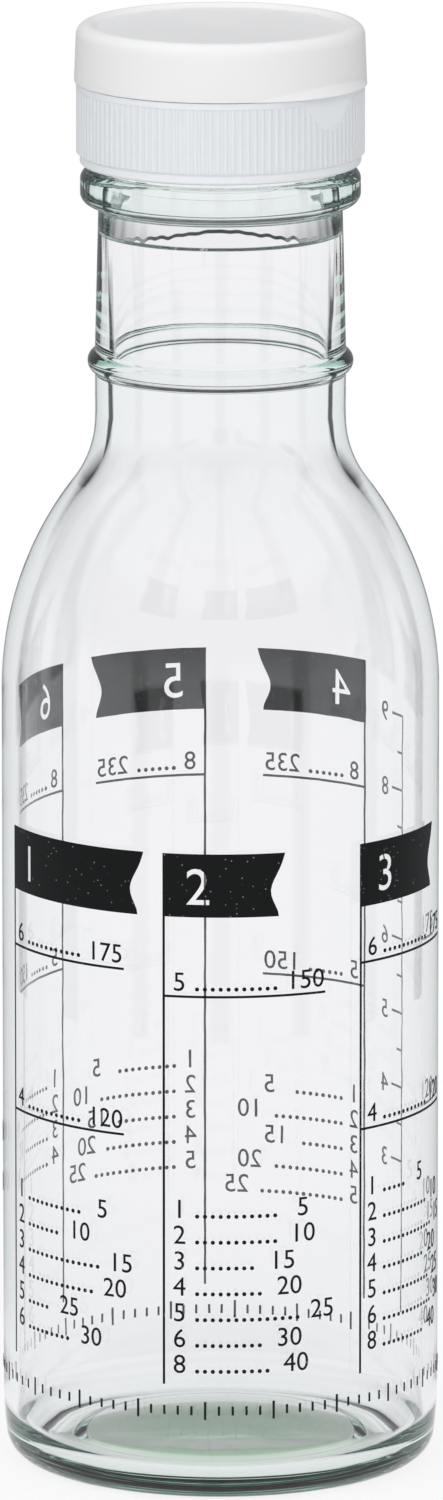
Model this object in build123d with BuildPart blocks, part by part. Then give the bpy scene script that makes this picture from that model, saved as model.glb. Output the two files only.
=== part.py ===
from build123d import *

import os
from math import atan2, cos, degrees, radians, sin, sqrt, tan

os.makedirs("parts", exist_ok=True)

# A glass shaker bottle with a screw closure and a flip-up lid, in millimetres.
# The bottle stands on Z = 0 with its axis on Z. The thumb lip faces -Y and the lid's hinge is at +Y.

# Glass body
body_radius = 30.8
body_height = 111.0
glass_wall = 1.9

# Heel: the wall draws in along a long sweep, then turns under on a small arc
sweep_height = 11.0
sweep_radius = 65.0
heel_radius = 3.9
bearing_width = 0.6

# Base: it stands on a ring, is pushed up inside a step, and has a domed floor
push_up = 2.8
step_radius = 20.4
step_width = 1.8
step_foot_height = 0.5
step_rise = 1.1
floor_thickness = 2.6
floor_edge_height = 2.7
floor_corner_radius = 5.0

# Shoulder and neck
shoulder_radius = 48.0
shoulder_fillet = 15.2
neck_radius = 17.6
neck_top_inset = 0.3

# Ring bead, its height above the neck's lower end
ring_bead_rise = 7.94
ring_bead_proud = 1.05
ring_bead_arc = 1.6
ring_bead_fillet = 0.8

# Transfer bead, by which the bottle is held while it is filled, its top's height above the ring bead
transfer_bead_rise = 27.3
transfer_bead_depth = 4.9
transfer_bead_proud = 2.26
transfer_bead_arc = 1.5
transfer_bead_fillet = 0.8

# Screw finish of the mouth
finish_height = 10.16
finish_thread_radius = 18.6
finish_thread_depth = 1.2
finish_wall = 2.8
finish_foot_fillet = 0.5
bore_blend_height = 6.0
lip_outer_round = 1.0
lip_inner_round = 1.2
thread_pitch = 25.4 / 6
thread_turns = 1.0
thread_start_depth = 1.17
thread_root_width = 2.4
thread_crest_width = 1.2
thread_embed = 0.5
thread_fade_sink = 0.05

# Sealing ring between the mouth and the closure
liner_thickness = 0.94
liner_hole_radius = 9.0
liner_clearance = 0.2

# Skirt and deck of the screw closure
skirt_gap = 0.7
skirt_wall = 1.3
skirt_foot_inset = 0.5
skirt_foot_height = 1.3
skirt_foot_round = 0.5
skirt_step_height = 0.6
skirt_inner_round = 0.2
deck_thickness = 1.2
deck_edge_round = 0.3
rib_count = 120
rib_groove_radius = 0.26
rib_groove_depth = 0.16
rib_top_margin = 1.0

# Thread inside the skirt
skirt_bore_clearance = 0.3
thread_crest_clearance = 0.25
thread_flank_clearance = 0.08
closure_thread_root_width = 1.5
closure_thread_crest_width = 0.8
closure_thread_turns = 1.4
closure_thread_start_angle = 60.0

# Pouring spout on the deck
orifice_radius = 5.5
orifice_lead_in = 0.4
spout_wall = 1.1
spout_flare = 0.8
spout_height = 3.2

# Rim that the lid closes over, with a catch under the thumb lip
rim_clearance = 0.35
rim_width = 0.8
rim_height = 1.6
rim_round = 0.3
catch_proud = 0.2
catch_height = 0.5
catch_width = 8.0

# Flip-up lid
lid_gap = 0.3
lid_height = 7.9
lid_overhang = 0.28
lid_draft = 0.32
lid_wall = 1.4
lid_top_thickness = 1.2
lid_edge_round = 1.7
lid_corner_round = 0.8
lid_rim_round = 0.3
dish_depth = 0.6
dish_margin = 1.96
dish_slope_width = 0.9
dish_round = 0.6

# Plug under the lid, which stops the spout
plug_clearance = 0.1
plug_wall = 1.1
plug_depth = 1.8
plug_bead_depth = 0.7
plug_bead_proud = 0.25
plug_tip_taper = 0.4

# Thumb lip on the lid's edge, and the flat under it on the skirt
lip_half_angle = 37.0
lip_offset = 4.0
lip_slope = 55.0
lip_overrun = 1.2
scoop_depth = 0.8
scoop_height = 5.0

# Living hinge: a strap in a pocket across skirt and lid, with a thin film to bend at
hinge_width = 9.0
hinge_pocket_clearance = 0.15
hinge_pocket_depth = 0.55
hinge_leg_height = 2.4
hinge_film_thickness = 0.35
hinge_film_margin = 0.4
hinge_axis_proud = 0.32
hinge_round = 0.2

# Shoulder: a convex arc tangent to the wall, then a concave one tangent to the neck
shoulder_center = (body_radius - shoulder_radius, body_height)
shoulder_span = shoulder_radius + shoulder_fillet
neck_fillet_x = neck_radius + shoulder_fillet
shoulder_rise = sqrt(shoulder_span**2 - (neck_fillet_x - shoulder_center[0]) ** 2)
neck_bottom = body_height + shoulder_rise
neck_fillet_center = (neck_fillet_x, neck_bottom)
shoulder_angle = degrees(atan2(shoulder_rise, neck_fillet_x - shoulder_center[0]))

# Heights and radii of the glass that follow from the values above
ring_bead_height = neck_bottom + ring_bead_rise
transfer_bead_height = ring_bead_height + transfer_bead_rise
transfer_bead_bottom = transfer_bead_height - transfer_bead_depth
finish_top = transfer_bead_height + finish_height
floor_top = push_up + floor_thickness
body_bore = body_radius - glass_wall
neck_bore = neck_radius - glass_wall
finish_root_radius = finish_thread_radius - finish_thread_depth
bore_radius = finish_root_radius - finish_wall
transfer_bead_radius = finish_root_radius + transfer_bead_proud
neck_top_radius = finish_root_radius - neck_top_inset

# Heights and radii of the closure, which fits the finish, and of the lid, which fits the closure
skirt_bottom = transfer_bead_height + skirt_gap
skirt_bore = finish_thread_radius + skirt_bore_clearance
skirt_radius = skirt_bore + skirt_wall
skirt_foot_radius = skirt_radius - skirt_foot_inset
deck_bottom = finish_top + liner_thickness
deck_top = deck_bottom + deck_thickness
spout_top = deck_top + spout_height
spout_top_radius = orifice_radius + spout_wall
spout_base_radius = spout_top_radius + spout_flare
lid_bottom = deck_top + lid_gap
lid_top = lid_bottom + lid_height
lid_edge_radius = skirt_radius + lid_overhang
lid_top_radius = lid_edge_radius - lid_draft
lid_bore = lid_edge_radius - lid_wall
dish_radius = lid_top_radius - dish_margin
dish_floor = lid_top - dish_depth
lid_ceiling = dish_floor - lid_top_thickness
rim_radius = lid_bore - rim_clearance
plug_radius = orifice_radius - plug_clearance
plug_waist_radius = plug_radius - plug_bead_proud
plug_bore = plug_waist_radius - plug_wall
hinge_pocket_face = skirt_radius - hinge_pocket_depth
hinge_axis_y = skirt_radius + hinge_axis_proud
hinge_outer_face = hinge_axis_y + hinge_film_thickness / 2
hinge_inner_face = hinge_outer_face - hinge_film_thickness

# Heel: the sweep is tangent to the wall, and the heel arc to the sweep and the bearing plane
sweep_center = (body_radius - sweep_radius, sweep_height)
heel_drop = sweep_height - heel_radius
heel_center_x = sweep_center[0] + sqrt((sweep_radius - heel_radius) ** 2 - heel_drop**2)
heel_center = (heel_center_x, heel_radius)
heel_angle = degrees(atan2(heel_drop, heel_center_x - sweep_center[0]))
bearing_inner_radius = heel_center_x - bearing_width

# Ring bead: its arc and the fillets that lead into it from the neck
ring_center = (neck_radius + ring_bead_proud - ring_bead_arc, ring_bead_height)
ring_fillet_x = neck_radius + ring_bead_fillet
ring_reach = sqrt((ring_bead_arc + ring_bead_fillet) ** 2 - (ring_fillet_x - ring_center[0]) ** 2)
ring_angle = degrees(atan2(ring_reach, ring_fillet_x - ring_center[0]))
ring_low_fillet_center = (ring_fillet_x, ring_bead_height - ring_reach)
ring_high_fillet_center = (ring_fillet_x, ring_bead_height + ring_reach)

# Bottle thread: height of its centre line at +X, where it starts and ends
thread_top_center = finish_top - thread_start_depth - thread_root_width / 2
thread_low_center = thread_top_center - thread_pitch * thread_turns
thread_middle = (thread_low_center + thread_top_center) / 2


def arc_about(center, radius, first, last):
    """Arc of a half section about a centre, from one angle in degrees to another."""
    points = []
    for angle in (first, (first + last) / 2, last):
        reach = radius * cos(radians(angle))
        rise = radius * sin(radians(angle))
        points.append((center[0] + reach, center[1] + rise))
    ThreePointArc(*points)


def dome(edge_radius, edge_height, middle_height):
    """Arc of a half section that is level at the axis, from the edge to the axis."""
    rise = middle_height - edge_height
    dome_radius = (edge_radius**2 + rise**2) / (2 * rise)
    half_drop = dome_radius - sqrt(dome_radius**2 - edge_radius**2 / 4)
    ThreePointArc(
        (edge_radius, edge_height),
        (edge_radius / 2, middle_height - half_drop),
        (0, middle_height),
    )


def rounded_outline(corners):
    """Closed outline through corners given as (x, y, radius of the corner)."""
    points = [corner[:2] for corner in corners]
    rounds = [corner[2] for corner in corners]
    FilletPolyline(*points, radius=rounds, close=True)


def helical_ridge(root_radius, crest_radius, root_width, crest_width, turns, low_center):
    """Right-handed ridge of trapezoid section, its root sunk into the wall that carries it."""
    side = 1 if crest_radius > root_radius else -1
    rise = abs(crest_radius - root_radius)
    sunk_half_width = root_width / 2 + (root_width - crest_width) / 2 * thread_embed / rise
    with BuildPart(mode=Mode.PRIVATE) as ridge:
        with BuildLine():
            path = Helix(thread_pitch, thread_pitch * turns, root_radius, center=(0, 0, low_center))
        with BuildSketch(Plane(origin=path @ 0, x_dir=(side, 0, 0), z_dir=path % 0)):
            with BuildLine():
                Polyline(
                    (-thread_embed, -sunk_half_width),
                    (rise, -crest_width / 2),
                    (rise, crest_width / 2),
                    (-thread_embed, sunk_half_width),
                    close=True,
                )
            make_face()
        sweep(path=path, is_frenet=True)
    return ridge.part


# Bottle thread, cut off level with the finish at +X so that both its ends fade out there
with BuildPart() as bottle_thread:
    add(
        helical_ridge(
            finish_root_radius,
            finish_thread_radius,
            thread_root_width,
            thread_crest_width,
            thread_turns,
            thread_low_center,
        )
    )
    with Locations((finish_root_radius - thread_fade_sink, 0, thread_middle)):
        Box(
            finish_thread_radius,
            2 * finish_thread_radius,
            2 * finish_height,
            align=(Align.MIN, Align.CENTER, Align.CENTER),
            mode=Mode.SUBTRACT,
        )

with BuildPart() as bottle:
    with BuildSketch(Plane.XZ):
        with BuildLine():
            # Underside, heel and body
            dome(step_radius - step_width, step_foot_height + step_rise, push_up)
            Polyline(
                (step_radius - step_width, step_foot_height + step_rise),
                (step_radius, step_foot_height),
                (bearing_inner_radius, 0),
                (heel_center_x, 0),
            )
            arc_about(heel_center, heel_radius, -90, -heel_angle)
            arc_about(sweep_center, sweep_radius, -heel_angle, 0)
            Line((body_radius, sweep_height), (body_radius, body_height))
            # Shoulder, neck and ring bead
            arc_about(shoulder_center, shoulder_radius, 0, shoulder_angle)
            arc_about(neck_fillet_center, shoulder_fillet, shoulder_angle + 180, 180)
            Line((neck_radius, neck_bottom), (neck_radius, ring_bead_height - ring_reach))
            arc_about(ring_low_fillet_center, ring_bead_fillet, 180, 180 - ring_angle)
            arc_about(ring_center, ring_bead_arc, -ring_angle, ring_angle)
            arc_about(ring_high_fillet_center, ring_bead_fillet, 180 + ring_angle, 180)
            # Upper neck, transfer bead, mouth and bore
            FilletPolyline(
                (neck_radius, ring_bead_height + ring_reach),
                (neck_top_radius, transfer_bead_bottom),
                (transfer_bead_radius, transfer_bead_bottom),
                (transfer_bead_radius, transfer_bead_height),
                (finish_root_radius, transfer_bead_height),
                (finish_root_radius, finish_top),
                (bore_radius, finish_top),
                (bore_radius, transfer_bead_height),
                (neck_bore, transfer_bead_height - bore_blend_height),
                (neck_bore, neck_bottom),
                radius=[
                    transfer_bead_fillet,
                    transfer_bead_arc,
                    transfer_bead_arc,
                    finish_foot_fillet,
                    lip_outer_round,
                    lip_inner_round,
                    bore_blend_height,
                    bore_blend_height,
                ],
            )
            # Inside of the shoulder, the body and the floor
            arc_about(neck_fillet_center, shoulder_fillet + glass_wall, 180, shoulder_angle + 180)
            arc_about(shoulder_center, shoulder_radius - glass_wall, shoulder_angle, 0)
            Line((body_bore, body_height), (body_bore, floor_edge_height + floor_corner_radius))
            arc_about(
                (body_bore - floor_corner_radius, floor_edge_height + floor_corner_radius),
                floor_corner_radius,
                0,
                -90,
            )
            dome(body_bore - floor_corner_radius, floor_edge_height, floor_top)
            Line((0, floor_top), (0, push_up))
        make_face()
    revolve(axis=Axis.Z)
    add(bottle_thread.part)

bottle.part.label = "bottle"
export_step(bottle.part, "parts/bottle.step")

with BuildPart() as liner:
    with BuildSketch(Plane.XY.offset(finish_top)):
        Circle(skirt_bore - liner_clearance)
        Circle(liner_hole_radius, mode=Mode.SUBTRACT)
    extrude(amount=liner_thickness)

liner.part.label = "liner"
export_step(liner.part, "parts/liner.step")

# Closure thread: its upper flank bears on the lower flank of the bottle's thread
crest_share = thread_crest_clearance / finish_thread_depth
flank_half_width = (thread_root_width - (thread_root_width - thread_crest_width) * crest_share) / 2
thread_offset = flank_half_width + closure_thread_crest_width / 2 + thread_flank_clearance
closure_thread = helical_ridge(
    skirt_bore,
    finish_root_radius + thread_crest_clearance,
    closure_thread_root_width,
    closure_thread_crest_width,
    closure_thread_turns,
    thread_low_center + thread_pitch * closure_thread_start_angle / 360 - thread_offset,
).rotate(Axis.Z, closure_thread_start_angle)

with BuildPart() as closure_base:
    with BuildSketch(Plane.XZ):
        with BuildLine():
            rounded_outline(
                (
                    (skirt_bore, skirt_bottom, skirt_inner_round),
                    (skirt_foot_radius, skirt_bottom, skirt_foot_round),
                    (skirt_foot_radius, skirt_bottom + skirt_foot_height, 0),
                    (skirt_radius, skirt_bottom + skirt_foot_height + skirt_step_height, 0),
                    (skirt_radius, deck_top, deck_edge_round),
                    (rim_radius, deck_top, 0),
                    (rim_radius, deck_top + rim_height, rim_round),
                    (rim_radius - rim_width, deck_top + rim_height, rim_round),
                    (rim_radius - rim_width, deck_top, 0),
                    (spout_base_radius, deck_top, 0),
                    (spout_top_radius, spout_top, rim_round),
                    (orifice_radius + orifice_lead_in, spout_top, 0),
                    (orifice_radius, spout_top - orifice_lead_in, 0),
                    (orifice_radius, deck_bottom, 0),
                    (skirt_bore, deck_bottom, 0),
                )
            )
        make_face()
    revolve(axis=Axis.Z)
    add(closure_thread)
    # Catch for the lid's edge on the front of the rim
    with BuildSketch(Plane.XY.offset(deck_top + rim_height - rim_round - catch_height)):
        Circle(rim_radius + catch_proud)
        Circle(rim_radius - rim_width / 2, mode=Mode.SUBTRACT)
        with Locations((0, -rim_radius)):
            Rectangle(catch_width, rim_radius, mode=Mode.INTERSECT)
    extrude(amount=catch_height)
    # Grooves between the grip ribs
    with BuildSketch(Plane.XY.offset(skirt_bottom + skirt_foot_height)):
        with PolarLocations(skirt_radius - rib_groove_depth + rib_groove_radius, rib_count):
            Circle(rib_groove_radius)
    extrude(amount=deck_top - rib_top_margin - skirt_bottom - skirt_foot_height, mode=Mode.SUBTRACT)
    # Sloping flat for the thumb, under the lip
    with BuildSketch(Plane.YZ):
        with BuildLine():
            Polyline(
                (-skirt_radius, deck_top - scoop_height),
                (scoop_depth - skirt_radius, deck_top),
                (-2 * skirt_radius, deck_top),
                (-2 * skirt_radius, deck_top - scoop_height),
                close=True,
            )
        make_face()
    extrude(amount=skirt_radius, both=True, mode=Mode.SUBTRACT)
    # Pocket for the lower leg of the hinge
    with Locations((0, hinge_pocket_face, deck_top)):
        Box(
            hinge_width + 2 * hinge_pocket_clearance,
            skirt_radius,
            hinge_leg_height + hinge_pocket_clearance,
            align=(Align.CENTER, Align.MIN, Align.MAX),
            mode=Mode.SUBTRACT,
        )

closure_base.part.label = "closure_base"
export_step(closure_base.part, "parts/closure_base.step")

# Thumb lip: a cone set off towards -Y, so that it stands out of the lid's wall as a crescent
lip_edge_radius = sqrt(
    lid_edge_radius**2
    + lip_offset**2
    - 2 * lid_edge_radius * lip_offset * cos(radians(lip_half_angle))
)
lip_proud = lip_offset + lip_edge_radius - lid_edge_radius
lip_height = lip_overrun * lip_proud * tan(radians(lip_slope))
lip_top_radius = lip_edge_radius - lip_overrun * lip_proud

with BuildPart() as thumb_lip:
    with Locations((0, -lip_offset, lid_bottom)):
        Cone(
            lip_edge_radius,
            lip_top_radius,
            lip_height,
            align=(Align.CENTER, Align.CENTER, Align.MIN),
        )
    with Locations((0, 0, lid_bottom)):
        Cylinder(
            lid_edge_radius - lid_wall / 2,
            2 * lip_height,
            mode=Mode.SUBTRACT,
        )

with BuildPart() as flip_lid:
    with BuildSketch(Plane.XZ):
        with BuildLine():
            rounded_outline(
                (
                    (lid_bore, lid_bottom, lid_rim_round),
                    (lid_edge_radius, lid_bottom, 0),
                    (lid_top_radius, lid_top, lid_edge_round),
                    (dish_radius, lid_top, dish_round),
                    (dish_radius - dish_slope_width, dish_floor, dish_round),
                    (0, dish_floor, 0),
                    (0, lid_ceiling, 0),
                    (lid_bore, lid_ceiling, lid_corner_round),
                )
            )
        make_face()
        # Plug: a tube with a sealing bead round it, drawn in towards its tip
        with BuildLine():
            rounded_outline(
                (
                    (plug_bore, dish_floor, 0),
                    (plug_waist_radius, dish_floor, 0),
                    (plug_waist_radius, spout_top, 0),
                    (plug_radius, spout_top - plug_bead_depth, 0),
                    (plug_radius - plug_tip_taper, spout_top - plug_depth, 0),
                    (plug_bore, spout_top - plug_depth, 0),
                )
            )
        make_face()
    revolve(axis=Axis.Z)
    add(thumb_lip.part)
    # Pocket for the upper leg of the hinge
    with Locations((0, hinge_pocket_face, lid_bottom)):
        Box(
            hinge_width + 2 * hinge_pocket_clearance,
            lid_edge_radius,
            hinge_leg_height + hinge_pocket_clearance,
            align=(Align.CENTER, Align.MIN, Align.MIN),
            mode=Mode.SUBTRACT,
        )

flip_lid.part.label = "flip_lid"
export_step(flip_lid.part, "parts/flip_lid.step")

# Hinge strap: two legs flat against the pockets, joined by a film that bends round its axis
with BuildPart() as hinge_strap:
    with BuildSketch(Plane.YZ):
        with BuildLine():
            rounded_outline(
                (
                    (hinge_pocket_face, deck_top - hinge_leg_height, 0),
                    (hinge_outer_face, deck_top - hinge_leg_height, hinge_round),
                    (hinge_outer_face, lid_bottom + hinge_leg_height, hinge_round),
                    (hinge_pocket_face, lid_bottom + hinge_leg_height, 0),
                    (hinge_pocket_face, lid_bottom + hinge_film_margin, 0),
                    (hinge_inner_face, lid_bottom + hinge_film_margin, hinge_round),
                    (hinge_inner_face, deck_top - hinge_film_margin, hinge_round),
                    (hinge_pocket_face, deck_top - hinge_film_margin, 0),
                )
            )
        make_face()
    extrude(amount=hinge_width / 2, both=True)

hinge_strap.part.label = "hinge_strap"
export_step(hinge_strap.part, "parts/hinge_strap.step")

print(f"overall height {lid_top:.2f} mm, neck from {neck_bottom:.2f} mm")
print(f"hinge axis at y {hinge_axis_y:.3f} mm, z {(deck_top + lid_bottom) / 2:.3f} mm")
for piece in (bottle, liner, closure_base, flip_lid, hinge_strap):
    print(piece.part.label, round(piece.part.volume, 2), piece.part.is_valid, len(piece.part.solids()))
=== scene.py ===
from math import asin, atan2, ceil, cos, degrees, dist, floor, inf, pi, radians, sin, sqrt, tan

import bmesh
import bpy
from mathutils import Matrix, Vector


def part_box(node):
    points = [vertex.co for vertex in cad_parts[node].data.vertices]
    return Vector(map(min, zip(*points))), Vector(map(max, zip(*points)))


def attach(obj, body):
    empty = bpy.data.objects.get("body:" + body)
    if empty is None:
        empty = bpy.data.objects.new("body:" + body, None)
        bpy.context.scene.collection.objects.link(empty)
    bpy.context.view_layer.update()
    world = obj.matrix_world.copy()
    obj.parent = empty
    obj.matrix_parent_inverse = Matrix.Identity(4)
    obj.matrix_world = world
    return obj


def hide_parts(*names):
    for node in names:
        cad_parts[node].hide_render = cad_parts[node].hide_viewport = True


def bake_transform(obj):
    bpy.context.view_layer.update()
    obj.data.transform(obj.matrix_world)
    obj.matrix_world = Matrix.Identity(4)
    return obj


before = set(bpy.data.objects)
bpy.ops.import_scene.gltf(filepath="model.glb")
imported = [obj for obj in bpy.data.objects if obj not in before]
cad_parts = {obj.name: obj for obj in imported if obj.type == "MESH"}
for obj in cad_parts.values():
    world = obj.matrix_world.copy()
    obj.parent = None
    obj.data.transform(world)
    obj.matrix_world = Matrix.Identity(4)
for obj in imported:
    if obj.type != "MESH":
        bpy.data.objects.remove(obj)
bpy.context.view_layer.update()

# Everything below is built in millimetres and made metres when a mesh is written
MM = 0.001
bottle_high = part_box("bottle")[1] / MM
closure_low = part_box("closure_base")[0] / MM
liner_low, liner_high = (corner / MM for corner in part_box("liner"))
lid_low, lid_high = (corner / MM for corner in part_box("flip_lid"))
strap_low, strap_high = (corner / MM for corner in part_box("hinge_strap"))

# Camera and view, from the photograph: the lens is long and looks down a little
PHOTO_WIDTH = 443
PHOTO_HEIGHT = 1500
PHOTO_AXIS_X = 220.5
FOCAL_PIXELS = 15605.7
SENSOR_MM = 36.0
CAMERA_AZIMUTH = -50.0
CAMERA_ELEVATION = 11.73
CAMERA_MM = 2200.0
AIM_HEIGHT_MM = 101.66

# Node and colour helpers


def linear(code):
    """sRGB hex colour as linear RGBA."""
    shares = [int(code[k : k + 2], 16) / 255 for k in (0, 2, 4)]
    return (*(s / 12.92 if s <= 0.04045 else ((s + 0.055) / 1.055) ** 2.4 for s in shares), 1.0)


def node(tree, kind, inputs=None, **settings):
    """Adds a node, sets its properties, and sets its inputs or links them to sockets."""
    made = tree.nodes.new(kind)
    for name, value in settings.items():
        setattr(made, name, value)
    for key, value in (inputs or {}).items():
        if isinstance(value, bpy.types.NodeSocket):
            tree.links.new(value, made.inputs[key])
        else:
            made.inputs[key].default_value = value
    return made


def new_material(name):
    """A material and its empty tree."""
    material = bpy.data.materials.new(name)
    material.use_nodes = True
    material.node_tree.nodes.clear()
    return material, material.node_tree


def scaled_noise(tree, size_mm, detail=2.0, stretch=(1, 1, 1)):
    """Noise on Object coordinates whose features are about size_mm across."""
    place = node(tree, "ShaderNodeTexCoord").outputs["Object"]
    stretched = node(tree, "ShaderNodeMapping", {"Vector": place, "Scale": stretch}).outputs["Vector"]
    waves = {"Vector": stretched, "Scale": 1 / (size_mm * MM), "Detail": detail}
    return node(tree, "ShaderNodeTexNoise", waves).outputs["Fac"]


# Materials


def blown_flint_glass():
    """Soda-lime container glass, blown in a mould: clear, with a green cast where it is thick.

    The mould leaves a slow unevenness in the wall, which bends what is seen through it a little.
    """
    material, tree = new_material("blown_flint_glass")
    slow = scaled_noise(tree, size_mm=16, detail=1.0, stretch=(1, 1, 0.45))
    fine = scaled_noise(tree, size_mm=5, detail=2.0, stretch=(1, 1, 0.6))
    unevenness = node(tree, "ShaderNodeMix", {0: 0.25, 2: slow, 3: fine}).outputs[0]
    bump = node(tree, "ShaderNodeBump", {"Strength": 0.1, "Distance": 0.25 * MM, "Height": unevenness})
    clear = {
        "Base Color": linear("FFFFFF"),
        "Roughness": 0.0,
        "IOR": 1.52,
        "Transmission Weight": 1.0,
        "Normal": bump.outputs["Normal"],
    }
    surface = node(tree, "ShaderNodeBsdfPrincipled", clear).outputs["BSDF"]
    green = {"Color": linear("92DDC6"), "Density": 30.0}
    inside = node(tree, "ShaderNodeVolumeAbsorption", green).outputs["Volume"]
    node(tree, "ShaderNodeOutputMaterial", {"Surface": surface, "Volume": inside})
    return material


def moulded_polypropylene(name, cloud, roughness):
    """Injection-moulded white polypropylene: waxy, softly glossy, and a little light gets into it.

    Its white clouds slowly between two shades, as the melt flowed, over a fine grain from the mould.
    """
    material, tree = new_material(name)
    grain = scaled_noise(tree, size_mm=0.5, detail=3.0)
    flow = scaled_noise(tree, size_mm=9)
    light, dark = map(linear, cloud)
    shade = node(tree, "ShaderNodeMix", {0: flow, 6: light, 7: dark}, data_type="RGBA").outputs[2]
    spread = {"Value": grain, "To Min": roughness - 0.05, "To Max": roughness + 0.07}
    satin = node(tree, "ShaderNodeMapRange", spread).outputs["Result"]
    bump = node(tree, "ShaderNodeBump", {"Strength": 0.12, "Distance": 0.03 * MM, "Height": grain})
    waxy = {
        "Base Color": shade,
        "Roughness": satin,
        "IOR": 1.49,
        "Subsurface Weight": 0.35,
        "Subsurface Radius": (1.0, 0.95, 0.9),
        "Subsurface Scale": 1.1 * MM,
        "Normal": bump.outputs["Normal"],
    }
    surface = node(tree, "ShaderNodeBsdfPrincipled", waxy).outputs["BSDF"]
    node(tree, "ShaderNodeOutputMaterial", {"Surface": surface})
    return material


def fired_enamel():
    """Black ceramic enamel, screened on and fired: dense, half glossy, with pinholes in its flats."""
    material, tree = new_material("fired_black_enamel")
    spacing = 0.55 * MM
    pinhole_edge = {"From Min": 0.1, "From Max": 0.22, "To Min": 1.0, "To Max": 0.0}
    whole_share = 0.72
    place = node(tree, "ShaderNodeTexCoord").outputs["Object"]
    cells = node(tree, "ShaderNodeTexVoronoi", {"Vector": place, "Scale": 1 / spacing}).outputs
    spot = node(tree, "ShaderNodeMapRange", {"Value": cells["Distance"], **pinhole_edge}).outputs["Result"]
    rare = node(tree, "ShaderNodeMath", {0: cells["Color"], 1: whole_share}, operation="GREATER_THAN")
    pinhole = node(tree, "ShaderNodeMath", {0: spot, 1: rare.outputs[0]}, operation="MULTIPLY").outputs[0]
    shades = {0: pinhole, 6: linear("0C0D0E"), 7: linear("8A9093")}
    shade = node(tree, "ShaderNodeMix", shades, data_type="RGBA").outputs[2]
    grain = scaled_noise(tree, size_mm=0.3)
    bump = node(tree, "ShaderNodeBump", {"Strength": 0.2, "Distance": 0.02 * MM, "Height": grain})
    dense = {"Base Color": shade, "Roughness": 0.45, "IOR": 1.4, "Normal": bump.outputs["Normal"]}
    surface = node(tree, "ShaderNodeBsdfPrincipled", dense).outputs["BSDF"]
    node(tree, "ShaderNodeOutputMaterial", {"Surface": surface})
    return material


def foamed_liner():
    """Foamed polyethylene sheet, die-cut: matt white with fine closed cells."""
    material, tree = new_material("foamed_polyethylene")
    cell_size = 0.35 * MM
    place = node(tree, "ShaderNodeTexCoord").outputs["Object"]
    cells = node(tree, "ShaderNodeTexVoronoi", {"Vector": place, "Scale": 1 / cell_size}).outputs
    relief = {"Strength": 0.5, "Distance": 0.06 * MM, "Height": cells["Distance"]}
    matt = {
        "Base Color": linear("EFEFEA"),
        "Roughness": 0.75,
        "Subsurface Weight": 0.3,
        "Subsurface Scale": 0.8 * MM,
        "Normal": node(tree, "ShaderNodeBump", relief).outputs["Normal"],
    }
    surface = node(tree, "ShaderNodeBsdfPrincipled", matt).outputs["BSDF"]
    node(tree, "ShaderNodeOutputMaterial", {"Surface": surface})
    return material


glass = blown_flint_glass()
lid_plastic = moulded_polypropylene("moulded_polypropylene_lid", ("F3F3F4", "F0F0F1"), 0.36)
closure_plastic = moulded_polypropylene("moulded_polypropylene_closure", ("F3F6FA", "EFF3F8"), 0.42)
enamel = fired_enamel()
foam = foamed_liner()


# Outlines of half sections, as lists of (radius, height) in millimetres


def arc(center, radius, first, last, step=0.5):
    """Points of an arc between two angles in degrees, no further apart than step."""
    sweep = radians(last - first)
    count = max(3, ceil(abs(sweep) * radius / step), ceil(abs(last - first) / 9))
    turns = [radians(first) + sweep * k / count for k in range(count + 1)]
    return [(center[0] + radius * cos(turn), center[1] + radius * sin(turn)) for turn in turns]


def dome(edge_radius, edge_height, middle_height, count=22):
    """Arc that is level at the axis, from the edge to the axis."""
    rise = middle_height - edge_height
    radius = (edge_radius**2 + rise**2) / (2 * rise)
    reaches = [edge_radius * (1 - k / count) for k in range(count + 1)]
    return [(reach, middle_height - radius + sqrt(radius**2 - reach**2)) for reach in reaches]


def straight(start, end, step):
    """Points along a line, both ends included."""
    start, end = Vector(start), Vector(end)
    count = max(1, ceil((end - start).length / step))
    return [tuple(start.lerp(end, k / count)) for k in range(count + 1)]


def rounded(corners, closed=True):
    """Outline through corners given as (x, z, radius of the corner)."""
    points = []
    for k, (x, z, radius) in enumerate(corners):
        here = Vector((x, z))
        if radius == 0 or (not closed and k in (0, len(corners) - 1)):
            points.append((x, z))
            continue
        before = (Vector(corners[k - 1][:2]) - here).normalized()
        after = (Vector(corners[(k + 1) % len(corners)][:2]) - here).normalized()
        half = before.angle(after) / 2
        middle = here + (before + after).normalized() * radius / sin(half)
        from_middle = here + before * radius / tan(half) - middle
        to_middle = here + after * radius / tan(half) - middle
        first = degrees(atan2(from_middle.y, from_middle.x))
        turn = degrees(from_middle.angle_signed(to_middle))
        points += arc(middle, radius, first, first - turn)
    return points


def tidy(points):
    """The outline without points that repeat."""
    kept = [points[0]]
    for point in points[1:]:
        if dist(point, kept[-1]) > 1e-4:
            kept.append(point)
    return kept


# Objects and meshes


def linked(name, data):
    """New object at the origin, in the scene."""
    made = bpy.data.objects.new(name, data)
    bpy.context.scene.collection.objects.link(made)
    return made


def evaluated(holder):
    """Plain mesh of what an object's curve or modifiers make; the object goes."""
    graph = bpy.context.evaluated_depsgraph_get()
    graph.update()
    mesh = bpy.data.meshes.new_from_object(holder.evaluated_get(graph))
    bpy.data.objects.remove(holder)
    return mesh


def made_plain(name, holder, crease):
    """Plain mesh object of what modifiers make, smooth but for edges past crease degrees."""
    mesh = evaluated(holder)
    mesh.name = name
    mesh.set_sharp_from_angle(angle=radians(crease))
    return linked(name, mesh)


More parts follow.
